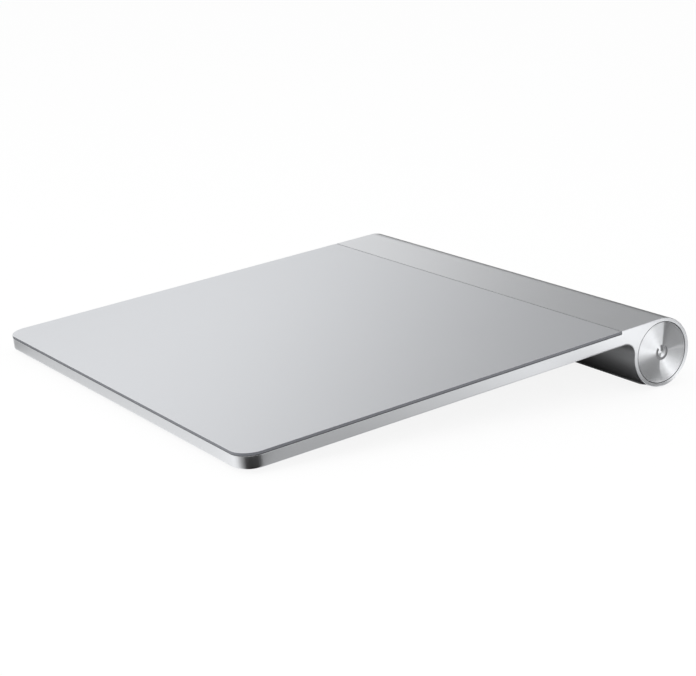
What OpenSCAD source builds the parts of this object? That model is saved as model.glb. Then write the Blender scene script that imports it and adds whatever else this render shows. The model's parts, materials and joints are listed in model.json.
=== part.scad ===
// Wireless desk trackpad: a glass touch surface on an aluminium plate that runs into a round battery
// tube along its rear edge. The two front feet are the click plungers, a push button sits in the
// tube's right end and a screwed battery cap in its left end.
// Everything is modelled lying flat (x to the right, y from the front edge to the rear, z = 0 on the
// touch surface) and then tilted about the front edge to stand on the desk at z = 0.

/* [Overall size] */
// Width, left to right
body_w = 130; // [126:1:160]
// Depth along the touch surface, front edge to the back of the tube
body_d = 131.1; // [120:0.1:150]
// Height of the plate's front lower edge above the desk
front_clearance = 0.7; // [0.3:0.1:2]

/* [Plate] */
// Thickness of the plate with its glass
plate_t = 4; // [3.8:0.1:5.5]
// Radius of the two front corners, seen from above
corner_r = 5.3; // [4:0.1:10]
// Radius of the plate's lower edge
edge_r = 0.5; // [0.2:0.1:0.9]
// Thickness of the web between the sensor pocket and the electronics pocket
web_t = 0.45; // [0.35:0.05:0.6]
// Width of the rim that carries the glass
rim_w = 3.3; // [2.5:0.1:5]
// Radius of the fillet between the plate's underside and the tube
fillet_r = 3; // [0.8:0.1:3.4]
// Least radius in the corners of the milled pockets
cutter_r = 0.5; // [0.3:0.1:1.5]

/* [Touch surface] */
// Depth of the glass, front to rear
glass_d = 109.2; // [100:0.1:112]
// Thickness of the glass
glass_t = 0.7; // [0.5:0.05:0.9]
// Thickness of the bond between glass and rim
bond_t = 0.15; // [0.1:0.05:0.25]
// How far the bond line lies back from the glass edge
bond_back = 0.1; // [0:0.05:0.3]
// Open seam between the glass and the aluminium strip behind it
seam_gap = 0.15; // [0.1:0.05:0.4]
// Thickness of the adhesive film over the sensor board
sensor_glue_t = 0.05; // [0.03:0.01:0.08]
// Thickness of the sensor board
sensor_t = 0.35; // [0.25:0.05:0.4]

/* [Bottom cover] */
// Thickness of the bottom cover
cover_t = 0.75; // [0.6:0.05:0.85]
// Rim of plate left outside the cover
cover_inset = 2; // [1.5:0.1:4]
// Width of the ledge that the cover is bonded to
ledge_w = 1.4; // [1:0.1:3]
// Thickness of the cover's adhesive
cover_glue_t = 0.1; // [0.05:0.05:0.2]
// Solid plate left between the cover and the start of the tube fillet
cover_rear_margin = 3.6; // [2:0.1:8]

/* [Battery tube] */
// Diameter of a cell
cell_dia = 14.2; // [13.8:0.1:14.6]
// Length of a cell with its nose
cell_len = 50.5; // [49:0.1:51.5]
// Diameter of a cell's nose
nose_dia = 5.4; // [4:0.1:6]
// Length of a cell's nose
nose_len = 1.1; // [0.8:0.1:1.6]
// Radial room around a cell
cell_play = 0.4; // [0.2:0.05:0.6]
// How far the cells lie left of the tube's middle
cell_shift = 0.5; // [0:0.1:1]
// Room between the button housing and the shoulder of the first cell
cell_stop_gap = 0.6; // [0.3:0.1:0.9]
// Wall of the tube
tube_wall = 1.5; // [1.3:0.1:2.2]
// Rim left around the button and the cap at the tube's ends
end_rim = 0.95; // [0.8:0.05:1.25]
// How far the button and the cap lie below the tube's end faces
end_recess = 0.05; // [0:0.05:0.6]
// Gap around the button and the cap
end_gap = 0.25; // [0.15:0.05:0.35]
// Chamfer on the rims of the button and the cap
end_chamfer = 0.12; // [0.05:0.01:0.3]

/* [Power button] */
// Thickness of the button disc
button_t = 1.2; // [1:0.1:2]
// Travel of the button
button_travel = 0.35; // [0.2:0.05:0.5]
// Diameter of the button's stem
stem_dia = 4; // [3.4:0.1:5]
// Diameter of the stem's spigot in the disc
spigot_dia = 3; // [2:0.1:3.2]
// Depth of the spigot's hole in the disc
spigot_len = 0.6; // [0.4:0.05:0.8]
// Length of the stem past its clip
stem_tail = 1.2; // [0.8:0.1:2]
// Thickness of the clip on the stem
clip_t = 0.5; // [0.4:0.05:0.8]
// How far the clip stands out from the stem
clip_lip = 1; // [0.6:0.1:1.6]
// Depth of the clip's groove in the stem
clip_groove = 0.45; // [0.3:0.05:0.7]
// Thickness of the housing's front wall
housing_wall = 1.6; // [1.2:0.1:2.2]
// Thickness of the housing's flange in the tube's mouth
housing_flange_t = 0.8; // [0.6:0.1:1.1]
// Wall of the housing's barrel
housing_skin = 1.1; // [0.8:0.1:1.4]
// Width of the ledge that the power board sits on
board_ledge = 0.5; // [0.3:0.1:0.8]
// Height of the power switch's base
power_switch_t = 0.6; // [0.4:0.1:1]
// Thickness of the positive contact
contact_t = 0.3; // [0.2:0.05:0.5]
// Diameter of the positive contact
contact_dia = 8; // [6.5:0.1:10]

/* [Battery cap] */
// Thickness of the cap's aluminium head
cap_head_t = 1.6; // [1.4:0.1:2.4]
// Thickness of the plug's floor
cap_floor_t = 2.4; // [2.2:0.1:3]
// Wall of the plug's cup
cap_skin = 1.5; // [1.3:0.1:2]
// Share of the contact spring that the plug's cup surrounds
cup_share = 0.54; // [0.4:0.02:0.7]
// Diameter of the head's boss in the plug
cap_boss_dia = 6; // [4:0.1:8]
// Length of the head's boss in the plug
cap_boss_len = 1.6; // [1:0.1:1.8]
// Length of the coin slot
coin_slot_len = 11; // [8:0.5:13]
// Width of the coin slot
coin_slot_w = 1.8; // [1.4:0.1:2.4]
// Depth of the coin slot
coin_slot_depth = 1; // [0.6:0.1:1.1]
// Diameter of the sealing ring's cord
seal_cord = 0.9; // [0.7:0.1:1.1]
// Distance of the sealing ring from the head
seal_at = 1.2; // [0.8:0.1:2]
// Diameter of the contact spring's wire
spring_wire = 0.7; // [0.5:0.05:0.9]
// Turns of the contact spring
spring_turns = 4; // [3:1:5]
// Mean diameter of the spring's last turn on the cell
spring_tip_dia = 5.2; // [4:0.1:7]

/* [Feet] */
// Distance of a front foot from the side edge
foot_side = 13; // [11:0.5:30]
// Distance of a front foot from the front edge
foot_front = 12; // [11:0.5:30]
// Diameter of a foot's stem where it passes the cover
foot_stem_dia = 8.4; // [6:0.1:10]
// Diameter of a foot's rubber pad
foot_pad_dia = 7.2; // [4.5:0.1:9]
// Height of rubber that shows under a foot's stem
foot_pad_show = 1; // [0.7:0.05:1.3]
// Depth of the rubber pad's seat in the stem
foot_pad_seat = 0.5; // [0.3:0.05:0.7]
// Thickness of the flange that keeps a foot behind the cover
flange_t = 0.4; // [0.3:0.05:0.5]
// How far that flange stands out from the stem
flange_lip = 1.2; // [0.8:0.1:2]
// Diameter of the boss that presses the dome
foot_boss_dia = 2; // [1.2:0.1:3]
// Width of the rubber strip under the tube
strip_w = 4; // [2.5:0.1:6]
// How far the strip stands out below the tube
strip_proud = 0.4; // [0.3:0.05:0.8]
// How deep the strip is seated in the tube
strip_seat = 0.5; // [0.3:0.05:0.7]
// Tube left free of the strip at each end
strip_margin = 4; // [2.5:0.5:30]

/* [Electronics] */
// Width of the logic board
board_w = 84; // [70:1:90]
// Depth of the logic board
board_d = 22; // [19:0.5:26]
// Thickness of the logic board and the power board
board_t = 0.6; // [0.4:0.05:0.65]
// Distance of the logic board from the rear of its pocket
board_rear_margin = 3; // [2:0.5:10]
// Board left beside the power button's flat cable
board_edge = 0.5; // [0.3:0.05:0.6]
// Height of the bosses that carry the logic board
boss_h = 0.2; // [0.15:0.05:0.25]
// Boss left around a screw's head
boss_lip = 0.4; // [0.2:0.1:0.8]
// Distance of a board screw from the board's edges
screw_in = 3; // [2.5:0.1:3.2]
// Diameter of a board screw's shank
screw_dia = 1; // [0.8:0.1:1.2]
// Diameter of a board screw's head
screw_head_dia = 2.6; // [2:0.1:3]
// Thickness of a board screw's head
screw_head_t = 0.35; // [0.25:0.05:0.4]
// Thickness of a flat cable
flex_t = 0.1; // [0.06:0.01:0.12]
// Width of the sensor's flat cable
sensor_flex_w = 24; // [16:1:30]
// Distance of that cable from the logic board's left edge
sensor_flex_in = 10.5; // [8:0.5:30]
// Width of the switches' flat cable
switch_flex_w = 5; // [4:0.5:7]
// Width of the power button's flat cable
power_flex_w = 2; // [1.6:0.1:2.2]
// Height of that cable's end above the tube's axis
power_flex_h = 4.5; // [4:0.1:4.8]
// Half length of the cable's end in its connector
power_flex_land = 1.6; // [1:0.1:2.2]
// Length of a flat cable that laps the board it joins
flex_lap = 4; // [3:0.5:6]
// Depth of a flat cable's connector
connector_d = 3; // [2:0.1:4]
// Height of a flat cable's connector
connector_t = 0.5; // [0.4:0.05:0.6]
// Length of the slot in the web for the sensor's flat cable
web_slot_len = 7; // [6:0.5:12]
// Web left between that slot and the logic board's front edge
web_slot_gap = 1; // [0.5:0.1:3]
// Width of the touch controller
controller_w = 7; // [5:0.5:9]
// Width of the memory chip
memory_w = 5; // [3:0.5:7]
// Width of the voltage regulator
regulator_w = 6; // [3:0.5:8]
// Height of the chips
chip_t = 0.45; // [0.3:0.05:0.55]
// Width of the radio's shield
shield_w = 22; // [15:1:28]
// Depth of the radio's shield
shield_d = 11; // [8:0.5:14]
// Wall of the radio's shield
shield_wall = 0.15; // [0.1:0.05:0.2]
// Clear board between the chips and the shield
chip_gap = 4; // [2:0.5:6]
// Distance of the switches' flat cable from the logic board's front edge
switch_flex_in = 5.2; // [5:0.1:8]
// Width of a click switch, front to rear and across
switch_w = 4.6; // [4:0.1:6]
// Height of a click switch's base
switch_t = 0.4; // [0.3:0.05:0.45]
// Rim of a switch left around its dome
dome_rim = 0.5; // [0.3:0.1:1]
// Height of a click dome, which is the travel of a foot
dome_h = 0.25; // [0.15:0.01:0.3]

/* [Fits] */
// Clearance of a piece that is fixed in its seat
fixed_gap = 0.05; // [0.03:0.01:0.1]
// Clearance of a piece that slides or turns
slide_gap = 0.1; // [0.08:0.01:0.2]
// Room left over thin inner pieces
inner_room = 0.15; // [0.1:0.05:0.2]
// Room around a flat cable where it passes through a wall
flex_room = 0.35; // [0.2:0.05:0.5]
// Play over a dome that is not pressed
dome_play = 0.02; // [0.01:0.01:0.05]

/* [Hidden] */
$fn = 64;
// A little more than nothing, for cutters that break through a face
over = 1;

// Tube section
bore_r = cell_dia / 2 + cell_play;
tube_r = bore_r + tube_wall;
tube_y = body_d - tube_r;
mouth_r = tube_r - end_rim;
end_disc_r = mouth_r - end_gap;

// Centre of the fillet circle, which touches the plate's underside and the tube
fillet_drop = tube_r - plate_t - fillet_r;
fillet_y = tube_y - sqrt(pow(tube_r + fillet_r, 2) - pow(fillet_drop, 2));
fillet_share = tube_r / (tube_r + fillet_r);

// Tilt at which the front lower edge clears the desk and the tube stands on its strip
tilt_run = norm([tube_r - plate_t, tube_y]);
tilt = acos((front_clearance - tube_r - strip_proud) / tilt_run) - atan2(tube_y, tube_r - plate_t);
rest_depth = tube_y * cos(tilt) + tube_r * sin(tilt) + tube_r;
rest_z = tube_r + strip_proud - tube_y * sin(tilt) + tube_r * cos(tilt);

// Levels through the plate, from the touch surface down
rim_z = -(glass_t + bond_t);
sensor_top_z = -(glass_t + sensor_glue_t);
sensor_z = sensor_top_z - sensor_t;
web_top_z = sensor_z - inner_room;
web_z = web_top_z - web_t;
cover_top_z = -plate_t + cover_t;
ledge_z = cover_top_z + cover_glue_t;

// Plan of the pockets
pocket_inset = cover_inset + ledge_w;
cover_rear = fillet_y - cover_rear_margin;
pocket_rear = cover_rear - ledge_w;
sensor_rear = glass_d - rim_w;

// Depths into the tube from its right end face
button_back = end_recess + button_t;
housing_front = button_back + button_travel + 2 * slide_gap;
shoulder = housing_front + housing_flange_t;
guide_end = housing_front + housing_wall;
stem_end = guide_end + clip_t + stem_tail;
power_dome_h = button_travel + dome_play;
power_switch_top = stem_end + dome_play + power_dome_h;
power_board_top = power_switch_top + power_switch_t;
power_board_end = power_board_top + board_t;
contact_face = body_w / 2 - cell_len + cell_shift;
housing_end = contact_face + nose_len - cell_stop_gap;
housing_r = bore_r - fixed_gap;
chamber_r = housing_r - housing_skin;

// Depths into the tube from its left end face
cap_back = end_recess + cap_head_t;
cap_mouth = cap_back + fixed_gap;
cap_floor = cap_back + cap_floor_t;
cap_plug_r = bore_r - slide_gap;
cap_cup_r = cap_plug_r - cap_skin;
spring_seat = cap_floor + slide_gap;
spring_end = body_w - contact_face - 2 * cell_len - slide_gap;
cap_plug_end = cap_floor + cup_share * (spring_end - cap_floor);
spring_r_out = cap_cup_r - spring_wire / 2 - 2 * slide_gap;
spring_r_in = spring_tip_dia / 2;

// Logic board and its cables
foot_x = body_w / 2 - foot_side;
power_flex_x = body_w / 2 - power_board_top + fixed_gap;
board_top_z = web_z - boss_h;
board_z = board_top_z - board_t;
flex_z = board_z - flex_t / 2;
board_rear = pocket_rear - board_rear_margin;
board_front = board_rear - board_d;
board_mid = board_front + board_d / 2;
board_right = power_flex_x + power_flex_w + board_edge;
board_left = board_right - board_w;
sensor_flex_x = board_left + sensor_flex_in;
screw_spots = [
    [board_left + screw_in, board_front + screw_in],
    [foot_x - switch_flex_w / 2 - screw_in, board_front + screw_in],
    [board_left + screw_in, board_rear - screw_in],
    [board_left + board_w / 2, board_rear - screw_in]
];
screw_hole = screw_dia + 2 * fixed_gap;
boss_dia = screw_head_dia + 2 * boss_lip;
web_slot_rear = board_front - web_slot_gap;
web_slot_front = web_slot_rear - web_slot_len;
power_flex_z = -tube_r + power_flex_h;

// Feet: what is above a foot's flange, from the web down
switch_z = web_z - flex_t - switch_t;
dome_z = switch_z - dome_h;
foot_boss_z = dome_z - dome_play;
// Level of the desk under a foot's axis, measured along the axis
foot_desk_z = -(rest_z + foot_front * sin(tilt)) / cos(tilt);
foot_stem_z = foot_desk_z + foot_pad_show;
left = -1;
right = 1;

// Colours
aluminium = [0.80, 0.81, 0.82];
silver_glass = [0.83, 0.84, 0.85];
black_plastic = [0.10, 0.10, 0.11];
grey_plastic = [0.72, 0.73, 0.74];
rubber_grey = [0.45, 0.46, 0.47];
circuit_green = [0.08, 0.25, 0.16];
flex_amber = [0.72, 0.45, 0.12];
steel = [0.72, 0.72, 0.70];
cell_wrap = [0.25, 0.27, 0.30];

// Stands what is modelled lying flat on the desk, centred over the origin
module at_rest() {
    translate([0, -rest_depth / 2, rest_z])
        rotate([tilt, 0, 0])
            children();
}

// Depth into the tube from its right end face runs along the child's z
module from_right() {
    translate([body_w / 2, tube_y, -tube_r])
        rotate([0, -90, 0])
            children();
}

// Depth into the tube from its left end face runs along the child's z
module from_left() {
    translate([-body_w / 2, tube_y, -tube_r])
        rotate([0, 90, 0])
            children();
}

// Round bar from one depth to another
module bar(r, from, to) {
    translate([0, 0, from])
        cylinder(r = r, h = to - from);
}

// Slab of a plan outline between two levels
module slab(from, to) {
    translate([0, 0, from])
        linear_extrude(height = to - from)
            children();
}

// Side profile (y, z) extruded across the width between two places
module across(from, to) {
    translate([from, 0, 0])
        rotate([90, 0, 90])
            linear_extrude(height = to - from)
                children();
}

// Plan of the plate drawn in by an inset at the front and sides, with the front corners round
module plan(inset, rear) {
    r = max(corner_r - inset, cutter_r);
    half = body_w / 2 - inset;
    translate([-half, inset + r])
        square([2 * half, rear - inset - r]);
    translate([-half + r, inset])
        square([2 * (half - r), rear - inset]);
    for (side = [left, right])
        translate([side * (half - r), inset + r])
            circle(r);
}

// Section of the extrusion: plate, tube and the fillet between them
module section() {
    square_from = [0, -plate_t];
    union() {
        translate(square_from)
            square([tube_y, plate_t]);
        translate([tube_y, -tube_r])
            circle(tube_r);
        difference() {
            polygon([
                [fillet_y, -plate_t],
                [tube_y, -plate_t],
                [tube_y, -tube_r],
                [
                    tube_y + (fillet_y - tube_y) * fillet_share,
                    -tube_r + fillet_drop * fillet_share
                ]
            ]);
            translate([fillet_y, -plate_t - fillet_r])
                circle(fillet_r);
        }
    }
}

// What is cut away outside the round front corners
module corner_cut() {
    for (side = [left, right])
        translate([side * (body_w / 2 - corner_r), corner_r, -plate_t - over])
            difference() {
                translate([side > 0 ? 0 : -corner_r - over, -corner_r - over, 0])
                    cube([corner_r + over, corner_r + over, plate_t + 2 * over]);
                translate([0, 0, -over])
                    cylinder(r = corner_r, h = plate_t + 4 * over);
            }
}

// Profile of what the lower edge's rounding takes away, with the edge at the origin
module edge_profile() {
    difference() {
        translate([-edge_r, -over])
            square([edge_r + over, edge_r + over]);
        translate([-edge_r, edge_r])
            circle(edge_r);
    }
}

// Rounding of the lower edge along the front, the corners and the sides up to the fillet
module edge_cut() {
    translate([0, 0, -plate_t]) {
        for (side = [left, right]) {
            translate([side * (body_w / 2 - corner_r), corner_r, 0])
                rotate([0, 0, side > 0 ? -90 : 180])
                    rotate_extrude(angle = 90)
                        translate([corner_r, 0])
                            edge_profile();
            translate([side * body_w / 2, corner_r, 0])
                mirror([side > 0 ? 0 : 1, 0, 0])
                    translate([0, fillet_y - corner_r, 0])
                        rotate([90, 0, 0])
                            linear_extrude(height = fillet_y - corner_r)
                                edge_profile();
        }
        rotate([90, 0, -90])
            translate([0, 0, -body_w / 2 + corner_r])
                linear_extrude(height = body_w - 2 * corner_r)
                    edge_profile();
    }
}

// Slot under the tube for the rubber strip, or the strip itself, on the desk
module strip_form(room, from, to) {
    half_w = strip_w / 2 + room;
    half_run = body_w / 2 - strip_margin - strip_w / 2;
    translate([0, rest_depth / 2 - tube_r, 0])
        slab(from, to) {
            square([2 * half_run, 2 * half_w], center = true);
            for (side = [left, right])
                translate([side * half_run, 0])
                    circle(half_w);
        }
}

module chassis() {
    color(aluminium)
        difference() {
            at_rest()
                union() {
                    difference() {
                        across(-body_w / 2, body_w / 2)
                            section();
                        corner_cut();
                        edge_cut();
                        plate_cuts();
                        tube_cuts();
                    }
                    board_bosses();
                }
            strip_form(fixed_gap, -over, strip_proud + strip_seat + fixed_gap);
        }
}

// Seats of the glass, the sensor, the electronics and the cover
module plate_cuts() {
    glass_seat = glass_d + seam_gap;
    translate([-body_w / 2 - over, -over, rim_z])
        cube([body_w + 2 * over, glass_seat + over, over - rim_z]);
    slab(web_top_z, over)
        plan(rim_w, sensor_rear);
    slab(-plate_t - over, ledge_z)
        plan(cover_inset, cover_rear);
    slab(-plate_t - over, web_z)
        plan(pocket_inset, pocket_rear);
    slab(web_z - over, web_top_z + over)
        translate([sensor_flex_x - flex_room, web_slot_front])
            square([sensor_flex_w + 2 * flex_room, web_slot_len]);
    for (spot = screw_spots)
        translate([spot[0], spot[1], web_z - over])
            cylinder(d = screw_hole, h = web_t + 2 * over);
}

// Bosses on the web that carry the logic board
module board_bosses() {
    for (spot = screw_spots)
        translate([spot[0], spot[1], board_top_z])
            difference() {
                cylinder(d = boss_dia, h = boss_h);
                translate([0, 0, -over])
                    cylinder(d = screw_hole, h = boss_h + 2 * over);
            }
}

// Bore for the cells, the wider mouths at both ends and the way in for the power cable
module tube_cuts() {
    from_right() {
        bar(bore_r, -over, body_w + over);
        bar(mouth_r, -over, shoulder);
    }
    from_left()
        bar(mouth_r, -over, cap_mouth);
    translate([power_flex_x - flex_room, pocket_rear - over, flex_z - flex_room])
        cube([power_flex_w + 2 * flex_room, tube_y - pocket_rear + over, 2 * flex_room]);
}

module touch_glass() {
    color(silver_glass)
        at_rest()
            slab(-glass_t, 0)
                plan(0, glass_d);
}

module glass_bond() {
    color(black_plastic)
        at_rest()
            slab(rim_z, -glass_t)
                difference() {
                    plan(bond_back, glass_d - bond_back);
                    plan(rim_w, sensor_rear);
                }
}

module sensor_adhesive() {
    color(grey_plastic)
        at_rest()
            slab(sensor_top_z, -glass_t)
                plan(rim_w + inner_room, sensor_rear - inner_room);
}

module sensor_board() {
    color(circuit_green)
        at_rest()
            slab(sensor_z, sensor_top_z)
                plan(rim_w + inner_room, sensor_rear - inner_room);
}

// Flat cable from under the sensor board, down through the web, to the underside of the logic board
module sensor_flex() {
    color(flex_amber)
        at_rest()
            across(sensor_flex_x, sensor_flex_x + sensor_flex_w)
                flex_path([
                    [web_slot_front - flex_lap, sensor_z - flex_t / 2],
                    [web_slot_front + flex_room, sensor_z - flex_t / 2],
                    [web_slot_rear - flex_room, flex_z],
                    [board_front + flex_lap, flex_z]
                ]);
}

// Strip of flat cable along a path in side view
module flex_path(path) {
    half = [0, flex_t / 2];
    back = [for (i = [len(path) - 1:-1:0]) path[i] - half];
    polygon(concat([for (p = path) p + half], back));
}

module logic_board() {
    color(circuit_green)
        at_rest()
            slab(board_z, board_top_z)
                difference() {
                    translate([board_left, board_front])
                        square([board_w, board_d]);
                    for (spot = screw_spots)
                        translate(spot)
                            circle(d = screw_hole);
                }
}

// Touch controller, memory and voltage regulator in a row on the underside of the logic board
module board_chips() {
    controller_x = board_left + screw_in + boss_dia;
    memory_x = controller_x + controller_w + chip_gap;
    regulator_x = board_right - screw_in - boss_dia - regulator_w;
    color(black_plastic)
        at_rest() {
            chip(controller_x, controller_w);
            chip(memory_x, memory_w);
            chip(regulator_x, regulator_w);
        }
}

// Square chip from a left edge on
module chip(from, width) {
    translate([from, board_mid - width / 2, board_z - chip_t])
        cube([width, width, chip_t]);
}

// Pressed tin cover over the radio
module radio_shield() {
    shield_t = board_z - cover_top_z - inner_room;
    shield_x = board_right - screw_in - boss_dia - regulator_w - chip_gap - shield_w;
    color(steel)
        at_rest()
            translate([shield_x, board_mid - shield_d / 2, board_z - shield_t])
                difference() {
                    cube([shield_w, shield_d, shield_t]);
                    translate([shield_wall, shield_wall, shield_wall])
                        cube([shield_w - 2 * shield_wall, shield_d - 2 * shield_wall, shield_t]);
                }
}

// Sockets that clamp the flat cables to the underside of the logic board and the face of the power board
module flex_connectors() {
    socket_z = board_z - flex_t - connector_t;
    color(grey_plastic)
        at_rest() {
            translate([sensor_flex_x, board_front + flex_lap - connector_d, socket_z])
                cube([sensor_flex_w, connector_d, connector_t]);
            translate([power_flex_x, board_rear - connector_d, socket_z])
                cube([power_flex_w, connector_d, connector_t]);
            translate([body_w / 2 - power_board_top, tube_y - power_flex_land, power_flex_z - connector_t])
                cube([power_flex_w, 2 * power_flex_land, connector_t]);
        }
}

module board_screws() {
    color(steel)
        at_rest()
            for (spot = screw_spots)
                translate([spot[0], spot[1], board_z - screw_head_t]) {
                    cylinder(d = screw_head_dia, h = screw_head_t);
                    cylinder(d = screw_dia, h = screw_head_t + board_t + boss_h + web_t);
                }
}

// U-shaped flat cable on the web, from one click switch past the logic board to the other
module switch_flex() {
    half = switch_flex_w / 2;
    bar_front = board_front + switch_flex_in;
    color(flex_amber)
        at_rest()
            slab(web_z - flex_t, web_z) {
                for (side = [left, right])
                    translate([side * foot_x - half, foot_front - half])
                        square([switch_flex_w, bar_front - foot_front + 2 * half]);
                translate([-foot_x - half, bar_front])
                    square([2 * foot_x + switch_flex_w, switch_flex_w]);
            }
}

// Origin on a foot's axis
module at_foot(side) {
    at_rest()
        translate([side * foot_x, foot_front, 0])
            children();
}

module click_switch(side) {
    color(black_plastic)
        at_foot(side)
            translate([-switch_w / 2, -switch_w / 2, switch_z])
                cube([switch_w, switch_w, switch_t]);
}

// Snap dome: a shallow spherical cap that stands on z = 0 with its top upwards
module dome(rim_r, height) {
    ball_r = (pow(rim_r, 2) + pow(height, 2)) / (2 * height);
    rotate_extrude()
        intersection() {
            translate([0, height - ball_r])
                circle(ball_r, $fn = 720);
            square([rim_r + over, height]);
        }
}

// Dome of a click switch, facing the foot
module click_dome(side) {
    color(steel)
        at_foot(side)
            translate([0, 0, switch_z])
                rotate([180, 0, 0])
                    dome(switch_w / 2 - dome_rim, dome_h);
}

module left_switch() click_switch(left);
module right_switch() click_switch(right);
module left_dome() click_dome(left);
module right_dome() click_dome(right);

// Foot's plunger: a flange held behind the cover, a boss for the dome and a cup for the rubber pad
module foot_plunger(side) {
    flange_z = cover_top_z + flange_t;
    color(grey_plastic)
        at_foot(side)
            difference() {
                union() {
                    bar(foot_boss_dia / 2, cover_top_z, foot_boss_z);
                    bar(foot_stem_dia / 2 + flange_lip, cover_top_z, flange_z);
                    bar(foot_stem_dia / 2, foot_stem_z, flange_z);
                }
                bar(foot_pad_dia / 2 + fixed_gap, foot_stem_z - over, foot_stem_z + foot_pad_seat);
            }
}

// Foot's rubber pad, cut level with the desk
module foot_pad(side) {
    color(rubber_grey)
        intersection() {
            at_foot(side)
                bar(foot_pad_dia / 2, foot_desk_z - 2 * over, foot_stem_z + foot_pad_seat);
            translate([-body_w, -body_d, 0])
                cube([2 * body_w, 2 * body_d, tube_r]);
        }
}

module left_foot_plunger() foot_plunger(left);
module right_foot_plunger() foot_plunger(right);
module left_foot_pad() foot_pad(left);
module right_foot_pad() foot_pad(right);

module bottom_cover() {
    color(grey_plastic)
        at_rest()
            difference() {
                slab(-plate_t, cover_top_z)
                    plan(cover_inset + fixed_gap, cover_rear - fixed_gap);
                for (side = [left, right])
                    translate([side * foot_x, foot_front, 0])
                        bar(foot_stem_dia / 2 + slide_gap, -plate_t - over, cover_top_z + over);
            }
}

module cover_adhesive() {
    color(black_plastic)
        at_rest()
            slab(cover_top_z, ledge_z)
                difference() {
                    plan(cover_inset + fixed_gap, cover_rear - fixed_gap);
                    plan(pocket_inset, pocket_rear);
                }
}

module rear_foot_strip() {
    color(rubber_grey)
        strip_form(0, 0, strip_proud + strip_seat);
}

// One cell with its nose towards the right, its tip at a depth from the right end
module cell(tip) {
    color(cell_wrap)
        at_rest()
            from_right()
                union() {
                    bar(nose_dia / 2, tip, tip + nose_len);
                    bar(cell_dia / 2, tip + nose_len, tip + cell_len);
                }
}

module cell_right() cell(contact_face);
module cell_left() cell(contact_face + cell_len);

// Moulded housing behind the button: a flange on the tube's shoulder, a guide for the stem and a barrel
module button_housing() {
    color(black_plastic)
        at_rest()
            difference() {
                from_right()
                    difference() {
                        union() {
                            bar(mouth_r - fixed_gap, housing_front, shoulder);
                            bar(housing_r, shoulder, housing_end);
                        }
                        bar(stem_dia / 2 + slide_gap, housing_front - over, guide_end + over);
                        bar(chamber_r - board_ledge, guide_end, power_board_top + over);
                        bar(chamber_r, power_board_top, housing_end + over);
                    }
                power_cable_notch();
            }
}

// Way through the housing's barrel for the power cable
module power_cable_notch() {
    translate([power_flex_x - flex_room, tube_y - housing_r, power_flex_z - flex_room])
        cube([power_flex_w + 2 * flex_room, housing_r, housing_r]);
}

module power_board() {
    color(circuit_green)
        at_rest()
            from_right()
                bar(chamber_r - fixed_gap, power_board_top, power_board_end);
}

module power_switch() {
    half = switch_w / 2;
    color(black_plastic)
        at_rest()
            from_right()
                translate([-half, -half, power_switch_top])
                    cube([switch_w, switch_w, power_switch_t]);
}

// Dome of the power switch, facing the button
module power_dome() {
    color(steel)
        at_rest()
            from_right()
                translate([0, 0, power_switch_top])
                    rotate([180, 0, 0])
                        dome(switch_w / 2 - dome_rim, power_dome_h);
}

// Flat cable from the logic board through the rear of the plate to the power board
module power_flex() {
    bore_y = tube_y - sqrt(pow(bore_r, 2) - pow(tube_r + flex_z, 2));
    color(flex_amber)
        at_rest()
            across(power_flex_x, power_flex_x + power_flex_w)
                flex_path([
                    [board_rear - flex_lap, flex_z],
                    [bore_y - flex_room, flex_z],
                    [tube_y - power_flex_land, power_flex_z + flex_t / 2],
                    [tube_y + power_flex_land, power_flex_z + flex_t / 2]
                ]);
}

// Moulded plug behind the power board, with a shallow seat for the positive contact
module contact_holder() {
    color(black_plastic)
        at_rest()
            from_right()
                difference() {
                    bar(chamber_r - fixed_gap, power_board_end, contact_face - contact_t / 2);
                    bar(contact_dia / 2 + fixed_gap, contact_face - contact_t, contact_face);
                }
}

// Stamped contact plate with a raised spot for the cell's nose
module positive_contact() {
    plate_back = contact_face - contact_t;
    plate_face = contact_face - contact_t / 2;
    color(steel)
        at_rest()
            from_right()
                rotate_extrude()
                    polygon([
                        [0, plate_back],
                        [contact_dia / 2, plate_back],
                        [contact_dia / 2, plate_face],
                        [nose_dia / 2, plate_face],
                        [nose_dia / 2 - contact_t, contact_face],
                        [0, contact_face]
                    ]);
}

// Turned disc with a chamfered rim, its face at the recess and its back at a depth
module end_disc(back) {
    rotate_extrude()
        polygon([
            [0, end_recess],
            [end_disc_r - end_chamfer, end_recess],
            [end_disc_r, end_recess + end_chamfer],
            [end_disc_r, back],
            [0, back]
        ]);
}

// Aluminium button: a thin turned disc with a blind hole for its stem
module button_cap() {
    color(aluminium)
        at_rest()
            from_right()
                difference() {
                    end_disc(button_back);
                    bar(spigot_dia / 2 + fixed_gap, button_back - spigot_len, button_back + over);
                }
}

// Moulded stem of the button, with a groove for its clip
module button_plunger() {
    groove_end = guide_end + clip_t + fixed_gap;
    color(black_plastic)
        at_rest()
            from_right() {
                bar(spigot_dia / 2, button_back - spigot_len + fixed_gap, button_back);
                bar(stem_dia / 2, button_back, guide_end);
                bar(stem_dia / 2 - clip_groove, guide_end, groove_end);
                bar(stem_dia / 2, groove_end, stem_end);
            }
}

// Open ring in the stem's groove that keeps the button in its guide
module button_clip() {
    clip_r = stem_dia / 2 + clip_lip;
    mouth_w = stem_dia / 2;
    color(steel)
        at_rest()
            from_right()
                difference() {
                    bar(clip_r, guide_end, guide_end + clip_t);
                    bar(stem_dia / 2 - clip_groove + fixed_gap, guide_end - over, guide_end + over);
                    translate([-mouth_w / 2, 0, guide_end - over])
                        cube([mouth_w, clip_r + over, clip_t + 2 * over]);
                }
}

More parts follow.
